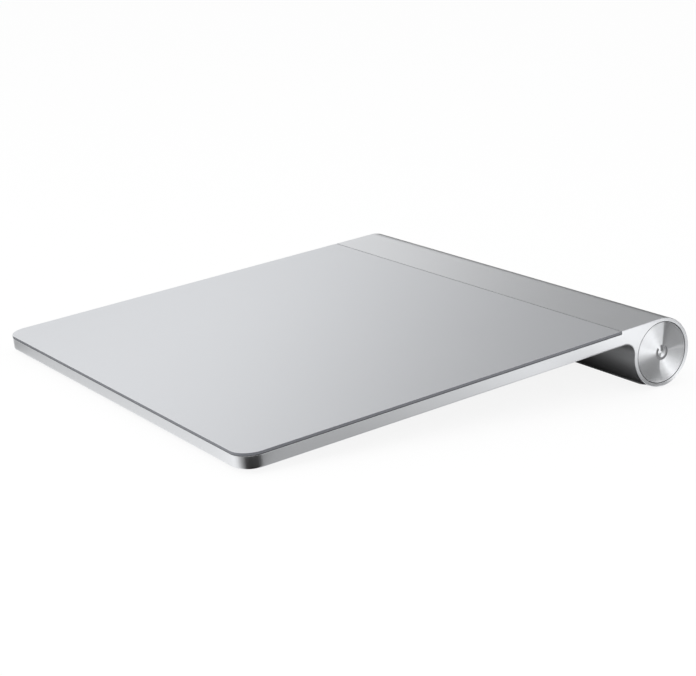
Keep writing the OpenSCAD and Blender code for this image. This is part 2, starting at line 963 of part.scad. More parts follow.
// Aluminium head of the battery cap with its coin slot and a boss that is pressed into the plug
module cap_head() {
    color(aluminium)
        at_rest()
            from_left()
                difference() {
                    union() {
                        end_disc(cap_back);
                        bar(cap_boss_dia / 2, cap_back, cap_back + cap_boss_len);
                    }
                    coin_slot();
                }
}

// Milled slot with round ends
module coin_slot() {
    run = coin_slot_len / 2 - coin_slot_w / 2;
    slab(end_recess - over, end_recess + coin_slot_depth) {
        square([coin_slot_w, 2 * run], center = true);
        for (end = [-run, run])
            translate([0, end])
                circle(d = coin_slot_w);
    }
}

// Moulded plug of the battery cap: a cup for the spring, with a groove for the sealing ring
module cap_plug() {
    boss_hole_r = cap_boss_dia / 2 + fixed_gap;
    boss_hole_end = cap_back + cap_boss_len + fixed_gap;
    groove_r = cap_plug_r - seal_cord + fixed_gap;
    groove_from = cap_back + seal_at - seal_cord / 2 - fixed_gap;
    groove_to = cap_back + seal_at + seal_cord / 2 + fixed_gap;
    color(grey_plastic)
        at_rest()
            from_left()
                rotate_extrude()
                    polygon([
                        [0, boss_hole_end],
                        [boss_hole_r, boss_hole_end],
                        [boss_hole_r, cap_back],
                        [cap_plug_r, cap_back],
                        [cap_plug_r, groove_from],
                        [groove_r, groove_from],
                        [groove_r, groove_to],
                        [cap_plug_r, groove_to],
                        [cap_plug_r, cap_plug_end],
                        [cap_cup_r, cap_plug_end],
                        [cap_cup_r, cap_floor],
                        [0, cap_floor]
                    ]);
}

module cap_seal() {
    color(black_plastic)
        at_rest()
            from_left()
                translate([0, 0, cap_back + seal_at])
                    rotate_extrude()
                        translate([cap_plug_r - seal_cord / 2 + fixed_gap, 0])
                            circle(d = seal_cord);
}

// Point on the contact spring's centre line, which narrows from the cap towards the cell
function spring_point(t) =
    let (turn = 360 * spring_turns * t)
    let (r = spring_r_out + (spring_r_in - spring_r_out) * t)
    let (rise = spring_seat + spring_wire / 2 + (spring_end - spring_seat - spring_wire) * t)
    [r * cos(turn), r * sin(turn), rise];

// Ring of points around the spring's wire
function spring_ring(t, sides) =
    let (step = 0.001)
    let (along = spring_point(t + step) - spring_point(t - step))
    let (way = along / norm(along))
    let (turn = 360 * spring_turns * t)
    let (out_raw = [cos(turn), sin(turn), 0])
    let (out_flat = out_raw - way * (way * out_raw))
    let (out = out_flat / norm(out_flat))
    let (up = cross(way, out))
    [for (i = [0:sides - 1])
        spring_point(t) + spring_wire / 2 * (out * cos(360 * i / sides) + up * sin(360 * i / sides))];

// Conical contact spring, one unbroken wire
module cap_spring() {
    sides = 6;
    turn_rings = 20;
    rings = spring_turns * turn_rings;
    points = [for (ring = [0:rings]) for (p = spring_ring(ring / rings, sides)) p];
    skin = [
        for (ring = [0:rings - 1]) for (i = [0:sides - 1])
            let (a = ring * sides + i)
            let (b = ring * sides + (i + 1) % sides)
            each [[a, a + sides, b], [b, a + sides, b + sides]]
    ];
    start_face = [for (i = [1:sides - 2]) [0, i, i + 1]];
    last = rings * sides;
    end_face = [for (i = [1:sides - 2]) [last, last + i + 1, last + i]];
    spread = [
        for (ring = [0:rings - turn_rings])
            norm(spring_point(ring / rings) - spring_point((ring + turn_rings) / rings))
    ];
    echo(spring_least_gap = min(spread) - spring_wire);
    color(steel)
        at_rest()
            from_left()
                polyhedron(points, concat(skin, start_face, end_face));
}

chassis();
touch_glass();
glass_bond();
sensor_adhesive();
sensor_board();
sensor_flex();
logic_board();
board_chips();
radio_shield();
flex_connectors();
board_screws();
switch_flex();
left_switch();
right_switch();
left_dome();
right_dome();
left_foot_plunger();
right_foot_plunger();
left_foot_pad();
right_foot_pad();
bottom_cover();
cover_adhesive();
rear_foot_strip();
cell_right();
cell_left();
button_housing();
power_board();
power_switch();
power_dome();
power_flex();
contact_holder();
positive_contact();
button_cap();
button_plunger();
button_clip();
cap_head();
cap_plug();
cap_seal();
cap_spring();
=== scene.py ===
# %% [markdown]
# # A wireless desk trackpad
# The real object is one aluminium extrusion, a thin plate that runs into a round battery tube, with a
# matt glass sheet on top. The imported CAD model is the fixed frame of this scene: it says where each piece
# sits and which body carries it. Blender adds what CAD leaves out, so the pieces that show are made again
# here with rounded edges, turning marks and a finish of their own.

# %% Load the frame
import json
import math

import bmesh
import bpy
from mathutils import Matrix, Vector


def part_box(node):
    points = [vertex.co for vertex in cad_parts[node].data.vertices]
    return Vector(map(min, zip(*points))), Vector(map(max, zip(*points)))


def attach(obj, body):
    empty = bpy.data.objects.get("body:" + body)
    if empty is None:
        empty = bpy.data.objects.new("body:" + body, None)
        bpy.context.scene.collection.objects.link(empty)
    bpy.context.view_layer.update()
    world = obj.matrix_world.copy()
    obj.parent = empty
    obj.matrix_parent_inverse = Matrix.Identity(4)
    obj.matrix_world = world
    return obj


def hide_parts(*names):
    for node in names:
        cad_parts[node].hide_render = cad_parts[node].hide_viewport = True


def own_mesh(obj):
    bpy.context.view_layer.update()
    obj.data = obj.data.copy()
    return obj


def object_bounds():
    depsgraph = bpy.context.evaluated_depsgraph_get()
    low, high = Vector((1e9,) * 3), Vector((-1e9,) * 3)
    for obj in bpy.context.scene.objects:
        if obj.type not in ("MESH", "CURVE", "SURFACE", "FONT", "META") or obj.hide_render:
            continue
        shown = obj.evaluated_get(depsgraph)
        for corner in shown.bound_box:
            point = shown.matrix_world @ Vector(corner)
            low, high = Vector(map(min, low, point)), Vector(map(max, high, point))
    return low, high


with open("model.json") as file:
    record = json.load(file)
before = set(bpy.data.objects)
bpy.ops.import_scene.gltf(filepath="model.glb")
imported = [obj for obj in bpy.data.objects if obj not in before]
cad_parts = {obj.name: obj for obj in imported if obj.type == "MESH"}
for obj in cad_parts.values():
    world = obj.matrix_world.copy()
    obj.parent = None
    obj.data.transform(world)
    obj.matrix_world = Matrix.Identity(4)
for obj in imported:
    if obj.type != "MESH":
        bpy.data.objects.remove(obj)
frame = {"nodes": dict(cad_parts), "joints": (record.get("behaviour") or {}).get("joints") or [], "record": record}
nodes = frame["nodes"]
cad_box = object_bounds()
MM = 0.001
print("CAD box in mm:", [[round(v / MM, 2) for v in corner] for corner in cad_box])

# %% [markdown]
# ## A frame that lies flat
# The pad stands tilted on the desk, which makes every measure awkward. It is easier to build each piece as
# on a drawing, lying flat, with x across, y from the front edge to the rear and z = 0 on the touch surface,
# and to tilt it at the end with one matrix. The tilt is that of the feet, which press square to the plate,
# and the glass gives the origin. The tube's axis comes from the joint of the battery cap.

# %% Find the flat frame
joints = {joint["name"]: joint for joint in frame["joints"]}
foot_axis = joints["left_foot_press"]["axis"]
tilt = math.atan2(-foot_axis[1], foot_axis[2])
levelling = Matrix.Rotation(-tilt, 4, "X")
glass_points = [levelling @ v.co for v in nodes["touch_glass"].data.vertices]
flat_origin = Vector((0, min(p.y for p in glass_points), max(p.z for p in glass_points)))
standing = levelling.inverted() @ Matrix.Translation(flat_origin)


def to_flat(point):
    """A point of the row frame, in millimetres of the flat frame."""
    return (levelling @ Vector(point) - flat_origin) / MM


def flat_box(node):
    """Lowest and highest corner of a CAD node in the flat frame, in millimetres."""
    points = [to_flat(v.co) for v in nodes[node].data.vertices]
    low = Vector(min(p[i] for p in points) for i in range(3))
    high = Vector(max(p[i] for p in points) for i in range(3))
    return low, high


tube_axis = to_flat(joints["battery_cap_turn"]["pos_m"])
tube_y, tube_r = tube_axis.y, -tube_axis.z
half_w = flat_box("touch_glass")[1].x
print(f"tilt {math.degrees(tilt):.3f} degrees, tube of radius {tube_r:.2f} at depth {tube_y:.2f} mm")

# %% [markdown]
# ## The camera
# The photograph looks at the pad from its front right, a little above it, through a long lens. These values
# come from fitting the pad's straight edges and the round button to the photograph. The camera stands at an
# azimuth and an elevation round the point it looks at, and a third of a degree of roll levels the picture.

# %% Set the camera
SENSOR = 36.0
azimuth, elevation, roll = (math.radians(a) for a in (56.874, 14.75, -0.336))
aim = Vector((7.20, -0.22, 9.08)) * MM
distance = 467.66 * MM


def direction(azimuth, elevation):
    """Unit vector towards an azimuth (0 is the front, 90 the right side) and an elevation."""
    level_part = math.cos(elevation)
    return Vector((math.sin(azimuth) * level_part, -math.cos(azimuth) * level_part, math.sin(elevation)))


back = direction(azimuth, elevation)
across = Vector((0, 0, 1)).cross(back).normalized()
upward = back.cross(across)
turned_across = across * math.cos(roll) + upward * math.sin(roll)
turned_up = upward * math.cos(roll) - across * math.sin(roll)
camera = bpy.data.objects.new("camera", bpy.data.cameras.new("camera"))
bpy.context.scene.collection.objects.link(camera)
camera.data.sensor_width = SENSOR
camera.data.lens = 92.353
camera.data.clip_start, camera.data.clip_end = 0.01, 50
camera.matrix_world = Matrix.Translation(aim + back * distance) @ Matrix(
    (turned_across, turned_up, back)).transposed().to_4x4()
bpy.context.scene.camera = camera
print("camera at", [round(v, 4) for v in camera.matrix_world.translation])

# %% [markdown]
# ## Shader maths as Python
# A finish is a material built from nodes. Two small classes keep that readable. A `Value` is one socket, and
# arithmetic on it adds Math nodes, so `0.3 + 0.05 * grain` builds two of them. A `Finish` is a material, or
# the world: its one method `node` adds any other node, first with its settings and then with its inputs.

# %% Wrap sockets and materials
class Value:
    """One output socket of a finish; arithmetic on it adds Math nodes."""

    def __init__(self, finish, socket):
        self.finish, self.socket = finish, socket

    def maths(self, operation, first, second):
        return self.finish.node("ShaderNodeMath", {"operation": operation}, {0: first, 1: second})

    def __add__(self, other):
        return self.maths("ADD", self, other)

    def __sub__(self, other):
        return self.maths("SUBTRACT", self, other)

    def __rsub__(self, other):
        return self.maths("SUBTRACT", other, self)

    def __mul__(self, other):
        return self.maths("MULTIPLY", self, other)

    __radd__, __rmul__ = __add__, __mul__


finishes = {}


class Finish:
    """The nodes of a material with a Principled surface, or of a world, kept by its name."""

    def __init__(self, name, owner=None):
        self.material = owner or bpy.data.materials.new(name)
        self.material.use_nodes = True
        self.tree = self.material.node_tree
        kinds = {node.type: node for node in self.tree.nodes}
        self.shader = kinds.get("BSDF_PRINCIPLED") or kinds["BACKGROUND"]
        self.output = kinds.get("OUTPUT_MATERIAL") or kinds["OUTPUT_WORLD"]
        finishes[name] = self.material

    def feed(self, socket, value):
        if isinstance(value, Value):
            self.tree.links.new(value.socket, socket)
        else:
            socket.default_value = value

    def node(self, kind, settings, inputs, output=0):
        made = self.tree.nodes.new(kind)
        for name, setting in settings.items():
            if name == "stops":
                ramp = made.color_ramp
                while len(ramp.elements) < len(setting):
                    ramp.elements.new(0.5)
                for element, (place, colour) in zip(ramp.elements, setting):
                    element.position, element.color = place, (*colour, 1)
            else:
                setattr(made, name, setting)
        for key, value in inputs.items():
            self.feed(made.inputs[key], value)
        return Value(self, made.outputs[output])

    def surface(self, **sockets):
        """Sets or links inputs of the first shader, named with underscores for spaces."""
        for name, value in sockets.items():
            self.feed(self.shader.inputs[name.replace("_", " ")], value)

    def show(self, shader):
        """Puts another shader in the place of the first one."""
        self.tree.links.new(shader.socket, self.output.inputs["Surface"])

    def place(self):
        """Position on the object, in metres."""
        return self.node("ShaderNodeTexCoord", {}, {}, "Object")

    def noise(self, size, detail=2.0, place=None):
        """Noise of 0 to 1 whose lumps are about that many millimetres wide."""
        return self.node("ShaderNodeTexNoise", {}, {
            "Vector": place or self.place(), "Scale": 1 / (size * MM), "Detail": detail})

    def mixed(self, share, first, second):
        """From the first colour to the second."""
        return self.node("ShaderNodeMix", {"data_type": "RGBA"}, {
            "Factor": share, 6: (*first, 1), 7: (*second, 1)}, 2)

    def bump(self, height, depth, strength=1.0):
        """Normal of a relief whose height of 1 is that many millimetres."""
        return self.node("ShaderNodeBump", {}, {
            "Strength": strength, "Distance": depth * MM, "Height": height})


# %% [markdown]
# ## Bead-blasted, anodised aluminium
# The chassis is blasted with fine glass beads before it is anodised, which leaves a satin skin with a grain
# far finer than a fingertip can feel. It could be a flat roughness value, but the grain is what makes the
# reflection of an edge look soft rather than blurred. Two noises do it: a fine one for the bump, and a slow
# one that varies colour and roughness by a few hundredths, as the bead stream does.

# %% Finish the body aluminium
body = Finish("body_aluminium")
cloud = body.noise(14, 3)
grain = body.noise(0.16, 2)
body.surface(
    Base_Color=body.mixed(cloud, (0.777, 0.79, 0.81), (0.817, 0.83, 0.851)),
    Metallic=1.0,
    Roughness=0.27 + 0.05 * cloud + 0.04 * grain,
    Normal=body.bump(grain, 0.004, 0.6))
print("body aluminium:", len(body.tree.nodes), "nodes")

# %% [markdown]
# ## Turned aluminium
# The button and the battery cap are faced on a lathe, so their faces carry circular lines. Such lines spread light
# across themselves, which shows as the bright and dark fans on the button. Anisotropy gives the spread: without a
# tangent of its own the shader turns round the object's z axis, so each disc is built with z along its axis, and a
# quarter turn of the anisotropy spreads light outwards instead of around. The flanks of the lines lean outwards
# too, like a flat cone, so that each sector mirrors its own part of the room. A bump that depends on the radius
# alone gives both that crown and the lines on it. The sunk power mark has no lines and is rougher, and its darker
# colour is painted shade for its recess.

# %% Finish the turned aluminium
turned = Finish("turned_aluminium")
spread = turned.node("ShaderNodeVectorMath", {"operation": "MULTIPLY"}, {0: turned.place(), 1: (1, 1, 0)})
radius = turned.node("ShaderNodeVectorMath", {"operation": "LENGTH"}, {0: spread}, "Value")
line = turned.node("ShaderNodeTexNoise", {"noise_dimensions": "1D"}, {
    "W": radius, "Scale": 1 / (0.07 * MM), "Detail": 3.0})
band = turned.node("ShaderNodeTexNoise", {"noise_dimensions": "1D"}, {
    "W": radius, "Scale": 1 / (0.9 * MM)})
CROWN = math.tan(math.radians(16))
LINE_DEPTH = 0.0006
crowned = line * LINE_DEPTH - radius * (CROWN / MM)
turned.surface(
    Base_Color=turned.mixed(band, (0.777, 0.79, 0.81), (0.837, 0.85, 0.871)),
    Metallic=1.0,
    Roughness=0.22 + 0.05 * line,
    Anisotropic=1.0,
    Anisotropic_Rotation=0.25,
    Normal=turned.bump(crowned, 1.0))

# The mark's finish: its darker colour is painted shade for the sunk recess; the speckle is its own grain.
shaded_mark = Finish("power_mark_painted_shade")
speckle = shaded_mark.noise(0.08, 2)
shaded_mark.surface(
    Base_Color=shaded_mark.mixed(speckle, (0.24, 0.243, 0.25), (0.34, 0.344, 0.352)),
    Metallic=0.7,
    Roughness=0.42 + 0.15 * speckle,
    Normal=shaded_mark.bump(speckle, 0.004, 0.5))
print("turned aluminium:", len(turned.tree.nodes), "nodes, its mark:", len(shaded_mark.tree.nodes))

# %% [markdown]
# ## Satin glass with a silver back
# The touch surface is clear glass, etched matt on top and printed silver on its back, so it looks like the
# aluminium beside it but a touch softer. One metallic surface under a thin rough coat stands for the two layers.
# The ground edge of the sheet gets its own dark finish: partly the dark bond below, which the eye sees through the
# glass, and partly painted shade of the narrow gap at the edge.

# %% Finish the glass and its edge
glass = Finish("touch_glass")
haze = glass.noise(25, 2)
etch = glass.noise(0.12, 1)
glass.surface(
    Base_Color=glass.mixed(haze, (0.71, 0.725, 0.752), (0.735, 0.75, 0.777)),
    Metallic=0.9,
    Roughness=0.31 + 0.03 * haze + 0.03 * etch,
    Coat_Weight=0.12,
    Coat_Roughness=0.35,
    Normal=glass.bump(etch, 0.003, 0.5))

# The edge's dark colour is partly the dark bond seen through the glass and partly painted shade of the gap at the
# edge.
glass_edge = Finish("touch_glass_edge")
ground = glass_edge.noise(0.3, 3)
glass_edge.surface(
    Base_Color=glass_edge.mixed(ground, (0.135, 0.14, 0.156), (0.20, 0.207, 0.228)),
    Metallic=0.25,
    Roughness=0.36 + 0.12 * ground,
    Normal=glass_edge.bump(ground, 0.004, 0.5))
print("glass:", len(glass.tree.nodes), "nodes, its edge:", len(glass_edge.tree.nodes))

# %% [markdown]
# ## Plastics, rubbers and films
# The remaining soft finishes differ in colour, in how fine their texture is and in how deep it goes: moulded
# plastic has the fine spark texture of its mould, rubber a coarser and duller one, and the adhesive films are
# almost smooth. One function makes them all, so that each finish is one line of measured values.

# %% Finish the plastics, rubbers and films
PATCH = 9


def moulded(slot, dark, light, roughness, texture, depth):
    """Dielectric finish: two close colours in slow patches, and a fine moulded texture."""
    finish = Finish(slot)
    patches = finish.noise(PATCH, 3)
    spark = finish.noise(texture, 2)
    finish.surface(
        Base_Color=finish.mixed(patches, dark, light),
        Roughness=roughness + 0.08 * spark,
        Normal=finish.bump(spark, depth, 0.6))


moulded("black_bond", (0.018, 0.018, 0.02), (0.03, 0.03, 0.033), 0.5, 0.4, 0.01)
moulded("clear_film", (0.60, 0.61, 0.62), (0.66, 0.67, 0.68), 0.25, 1.5, 0.004)
moulded("chip_black", (0.024, 0.024, 0.026), (0.04, 0.04, 0.043), 0.45, 0.25, 0.01)
moulded("white_plastic", (0.66, 0.66, 0.64), (0.72, 0.72, 0.70), 0.38, 0.3, 0.008)
moulded("cover_plastic", (0.58, 0.59, 0.60), (0.63, 0.64, 0.65), 0.42, 0.28, 0.014)
moulded("foot_rubber", (0.16, 0.163, 0.168), (0.20, 0.203, 0.208), 0.72, 0.45, 0.02)
moulded("seal_rubber", (0.016, 0.016, 0.016), (0.028, 0.028, 0.028), 0.5, 0.5, 0.008)
print("finishes so far:", sorted(finishes))

# %% [markdown]
# ## Electronics, contacts and cells
# These sit inside, but each still gets what tells it apart. The boards have copper tracks under green solder
# mask, drawn as the edges of a brick pattern; the flat cables have parallel tracks under amber film, drawn as
# a wave; plated steel is rolled in one direction, so its noise is stretched; a cell has a plain two-tone
# sleeve.

# %% Finish the boards and flat cables
board = Finish("circuit_board")
tracks = board.node("ShaderNodeTexBrick", {"offset": 0.35, "squash": 0.6}, {
    "Vector": board.place(), "Color1": (0, 0, 0, 1), "Color2": (0.2, 0.2, 0.2, 1), "Mortar": (1, 1, 1, 1),
    "Scale": 1 / (3.0 * MM), "Mortar Size": 0.06}, 1)
board.surface(
    Base_Color=board.mixed(tracks, (0.012, 0.085, 0.045), (0.04, 0.18, 0.09)),
    Roughness=0.34 - 0.08 * tracks,
    Normal=board.bump(tracks, 0.03, 0.5))

film = Finish("flex_film")
lanes = film.node("ShaderNodeTexWave", {"bands_direction": "X"}, {
    "Vector": film.place(), "Scale": 1 / (2.2 * MM), "Distortion": 0.0})
film.surface(
    Base_Color=film.mixed(lanes, (0.30, 0.12, 0.018), (0.52, 0.23, 0.04)),
    Roughness=0.28 + 0.1 * lanes,
    Normal=film.bump(lanes, 0.01, 0.4))
print("board:", len(board.tree.nodes), "nodes, film:", len(film.tree.nodes))

# %% Finish the plated steel and the cells
steel = Finish("tinned_steel")
rolled = steel.node("ShaderNodeVectorMath", {"operation": "MULTIPLY"}, {0: steel.place(), 1: (0.06, 1, 1)})
streak = steel.noise(0.2, 3, rolled)
steel.surface(
    Base_Color=steel.mixed(streak, (0.60, 0.60, 0.585), (0.70, 0.70, 0.685)),
    Metallic=1.0,
    Roughness=0.24 + 0.14 * streak,
    Normal=steel.bump(streak, 0.004, 0.5))

sleeve = Finish("cell_wrap")
along = sleeve.node("ShaderNodeSeparateXYZ", {}, {0: sleeve.node("ShaderNodeTexCoord", {}, {}, "Generated")})
tone = sleeve.node("ShaderNodeValToRGB", {"stops": [
    (0.0, (0.55, 0.55, 0.54)), (0.012, (0.03, 0.032, 0.036)), (0.76, (0.045, 0.048, 0.054)),
    (0.765, (0.42, 0.43, 0.44)), (0.96, (0.45, 0.46, 0.47)), (0.975, (0.60, 0.60, 0.59))]}, {0: along})
wrinkle = sleeve.noise(2.5, 3)
sleeve.surface(
    Base_Color=tone,
    Metallic=0.5,
    Roughness=0.26 + 0.1 * wrinkle,
    Normal=sleeve.bump(wrinkle, 0.01, 0.4))
print(len(finishes), "finishes")

# %% [markdown]
# ## Tools for the meshes
# Every piece is drawn in millimetres, because Blender's booleans and bevels work best on sizes near 1, and is
# shrunk to metres at the end. A closed outline is extruded to a prism, a profile is turned to a round piece,
# and pieces are cut by each other with booleans. Rounded edges come from one Bevel modifier whose width at
# each edge is a weight, so that a large lower edge and a fine machined one can sit on the same mesh.

# %% Draw prisms and turned pieces
def mesh_object(name, bm):
    """Object made from a bmesh, its faces turned outwards."""
    bmesh.ops.recalc_face_normals(bm, faces=bm.faces)
    mesh = bpy.data.meshes.new(name)
    bm.to_mesh(mesh)
    bm.free()
    made = bpy.data.objects.new(name, mesh)
    bpy.context.scene.collection.objects.link(made)
    return made


def prism(name, outline, low, high, axis="z"):
    """Closed outline extruded between two places; along x it is drawn in y and z, along z in x and y."""
    bm = bmesh.new()
    put = (lambda a, b, c: (c, a, b)) if axis == "x" else (lambda a, b, c: (a, b, c))
    ends = [[bm.verts.new(put(a, b, place)) for a, b in outline] for place in (low, high)]
    bm.faces.new(ends[0])
    bm.faces.new(ends[1])
    for i in range(len(outline)):
        bm.faces.new((ends[0][i - 1], ends[0][i], ends[1][i], ends[1][i - 1]))
    return mesh_object(name, bm)


def turned_piece(name, profile, steps=128):
    """Closed profile of (radius, height) points turned round z; points at radius 0 become poles."""
    bm = bmesh.new()
    rings = []
    for r, h in profile:
        if r == 0:
            rings.append([bm.verts.new((0, 0, h))] * steps)
        else:
            angles = [2 * math.pi * i / steps for i in range(steps)]
            rings.append([bm.verts.new((r * math.cos(a), r * math.sin(a), h)) for a in angles])
    for k in range(len(rings)):
        lower, upper = rings[k - 1], rings[k]
        if lower[0] is lower[1] and upper[0] is upper[1]:
            continue
        for i in range(steps):
            corners = [lower[i - 1], lower[i], upper[i], upper[i - 1]]
            bm.faces.new(list(dict.fromkeys(corners)))
    return mesh_object(name, bm)


def arc(centre, radius, start, end, steps):
    """Points on an arc between two angles in degrees, both ends included."""
    angles = [math.radians(start + (end - start) * i / steps) for i in range(steps + 1)]
    return [(centre[0] + radius * math.cos(a), centre[1] + radius * math.sin(a)) for a in angles]


# %% Cut, round and place pieces
def settle(piece):
    """Applies the piece's modifiers to its mesh."""
    graph = bpy.context.evaluated_depsgraph_get()
    mesh = bpy.data.meshes.new_from_object(piece.evaluated_get(graph))
    piece.modifiers.clear()
    piece.data = mesh
    return piece


def combine(piece, tool, operation="DIFFERENCE"):
    """Cuts a piece by a tool, or joins them, and removes the tool."""
    cut = piece.modifiers.new("cut", "BOOLEAN")
    cut.operation, cut.object, cut.solver = operation, tool, "EXACT"
    settle(piece)
    bpy.data.objects.remove(tool)
    return piece


def rounded(piece, width_at, segments=3, sharp=20):
    """Rounds sharp edges; width_at(middle, one normal, other normal) gives each edge its width."""
    bm = bmesh.new()
    bm.from_mesh(piece.data)
    bmesh.ops.remove_doubles(bm, verts=bm.verts, dist=1e-4)
    bmesh.ops.dissolve_limit(bm, angle_limit=math.radians(0.05), verts=bm.verts, edges=bm.edges)
    weight = bm.edges.layers.float.new("bevel_weight_edge")
    widths = {}
    for edge in bm.edges:
        if len(edge.link_faces) == 2 and edge.calc_face_angle(0) > math.radians(sharp):
            middle = (edge.verts[0].co + edge.verts[1].co) / 2
            widths[edge] = width_at(middle, *(face.normal for face in edge.link_faces))
    widest = max(widths.values())
    for edge, width in widths.items():
        edge[weight] = width / widest
    bm.to_mesh(piece.data)
    bm.free()
    bevel = piece.modifiers.new("edges", "BEVEL")
    bevel.limit_method, bevel.offset_type = "WEIGHT", "OFFSET"
    bevel.width, bevel.segments, bevel.use_clamp_overlap = widest, segments, False
    bevel.miter_outer = "MITER_ARC"
    return settle(piece)


def smoothed(piece, angle=38):
    """Smooth shading that keeps flat faces flat and edges sharper than the angle crisp."""
    piece.data.shade_smooth()
    piece.data.set_sharp_from_angle(angle=math.radians(angle))
    normals = piece.modifiers.new("normals", "WEIGHTED_NORMAL")
    normals.keep_sharp, normals.weight = True, 80
    return settle(piece)


def dressed(piece, rides, stands_for, slot, where=None, more=()):
    """Shrinks a piece to metres, stands it on the desk, paints it and hands it to its body.

    A piece has its place in its mesh, or, with a matrix, keeps a frame of its own."""
    piece.data.transform(Matrix.Scale(MM, 4))
    if where is None:
        piece.data.transform(standing)
    else:
        piece.matrix_world = standing @ where
    for material in (finishes[slot], *more):
        piece.data.materials.append(material)
    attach(piece, rides)
    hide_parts(*stands_for)
    size = [round(v / MM, 2) for v in piece.dimensions]
    print(f"{piece.name}: {len(piece.data.polygons)} faces, {size} mm, rides on {rides}")
    return piece


# %% [markdown]
# ## The chassis
# The real one is cut from a bar of extruded aluminium: one section of plate, fillet and tube, sawn to width,
# with pockets milled from above and below, the tube bored and both ends faced. It is made in the same order
# here. The section is one outline with fine arcs, so the plate runs into the tube without a crease, and the
# plan outline then rounds its two front corners.

# %% Draw the section and the plan
corner_r, fillet_r, edge_r, least_r = 5.3, 3.0, 0.5, 0.5
seam = 0.15
glass_low, glass_high = flat_box("touch_glass")
cover_low, cover_high = flat_box("bottom_cover")
glass_d, glass_t = glass_high.y, -glass_low.z
plate_t = -cover_low.z
rim_z = flat_box("glass_bond")[0].z
fillet_drop = tube_r - plate_t - fillet_r
fillet_y = tube_y - math.sqrt((tube_r + fillet_r) ** 2 - fillet_drop ** 2)
touch_angle = math.degrees(math.atan2(fillet_drop, fillet_y - tube_y))
section = [
    (0, rim_z), (glass_d + seam, rim_z), (glass_d + seam, 0),
    *arc((tube_y, -tube_r), tube_r, 90, touch_angle - 360, 150),
    *arc((fillet_y, -plate_t - fillet_r), fillet_r, touch_angle - 180, 90, 20)[1:],
    (0, -plate_t)]


def plan(inset, rear, steps=28):
    """Outline of the plate from above, drawn in by an inset, with its two front corners round."""
    r = max(corner_r - inset, least_r)
    side = half_w - inset
    right_corner = arc((side - r, inset + r), r, -90, 0, steps)
    left_corner = arc((r - side, inset + r), r, 180, 270, steps)
    return [*right_corner, (side, rear), (-side, rear), *left_corner]


print(f"section of {len(section)} points, fillet from {fillet_y:.2f} mm, plate {plate_t:.2f} mm thick")

# %% [markdown]
# The milled pockets and the bores are prisms and turned pieces that are taken away. Their sizes are read from
# the CAD pieces that sit in them wherever one does. The slot under the tube for the rubber strip is square to
# the desk, not to the plate, so its tool is tilted back.

# %% Cut the chassis
def tube_tool(name, profile):
    """Profile of (radius, place across the pad) points turned round the tube's axis."""
    tool = turned_piece(name, profile)
    tool.data.transform(Matrix.Translation((0, tube_y, -tube_r)) @ Matrix.Rotation(math.pi / 2, 4, "Y"))
    return tool


def capsule(half_run, half_width, steps=24):
    """Outline of a strip with round ends."""
    right_end = arc((half_run, 0), half_width, -90, 90, steps)
    return [*right_end, *arc((-half_run, 0), half_width, 90, 270, steps)]


def desk_to_flat(y):
    """Matrix from a strip's own frame, level on the desk under the tube, to the flat frame."""
    to_mm = Matrix.Scale(1 / MM, 4) @ standing.inverted() @ Matrix.Scale(MM, 4)
    return to_mm @ Matrix.Translation((0, y, 0))


bore_r, mouth_r, fit = 7.5, 8.05, 0.05
sensor_wall, sensor_play, web_t = 3.3, 0.15, 0.45
pocket_wall, cover_ledge, flange_t = 3.4, 1.4, 0.8
above, below, far_below, under_desk, past_end = 5, -6, -40, -2, 1
sensor_rear = flat_box("sensor_board")[1].y + sensor_play
ledge_z = flat_box("cover_adhesive")[1].z
web_z = flat_box("switch_flex")[1].z
flange_depth = half_w - flat_box("button_housing")[1].x + flange_t
cap_depth = half_w + flat_box("cap_plug")[0].x
strip_low, strip_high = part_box("rear_foot_strip")
strip_y = (strip_low.y + strip_high.y) / 2 / MM
strip_half_w = (strip_high.y - strip_low.y) / 2 / MM
strip_half_run = strip_high.x / MM - strip_half_w
strip_top = strip_high.z / MM

chassis = prism("chassis_shell", section, -half_w, half_w, "x")
combine(chassis, prism("plan_tool", plan(0, tube_y + tube_r + past_end), far_below, above), "INTERSECT")
combine(chassis, prism("sensor_tool", plan(sensor_wall, sensor_rear), web_z + web_t, above))
combine(chassis, prism("seat_tool", plan(half_w - cover_high.x - fit, cover_high.y + fit), below, ledge_z))
combine(chassis, prism("pocket_tool", plan(pocket_wall, cover_high.y + fit - cover_ledge), below, web_z))
left_step, right_step = -half_w + cap_depth + fit, half_w - flange_depth
left_end, right_end = -half_w - past_end, half_w + past_end
combine(chassis, tube_tool("bore_tool", [
    (0, left_end), (mouth_r, left_end), (mouth_r, left_step), (bore_r, left_step),
    (bore_r, right_step), (mouth_r, right_step), (mouth_r, right_end), (0, right_end)]))
strip_tool = prism("strip_tool", capsule(strip_half_run, strip_half_w + fit), under_desk, strip_top + fit)
strip_tool.data.transform(desk_to_flat(strip_y))
combine(chassis, strip_tool)
print("chassis cut:", len(chassis.data.polygons), "faces")

# %% [markdown]
# Machined aluminium never ends in a knife edge. The plate's lower edge has a full half millimetre of radius,
# the sawn ends and the tube's mouths a fine chamfer that catches the light, and the pockets none, since
# nobody sees them. Along the fillet the large radius runs out into the fine one.

# %% Round the edges of the chassis
hidden_edge, rim_edge, mouth_edge, end_edge = 0.02, 0.06, 0.08, 0.14
NEAR, NEARBY = 0.01, 0.1


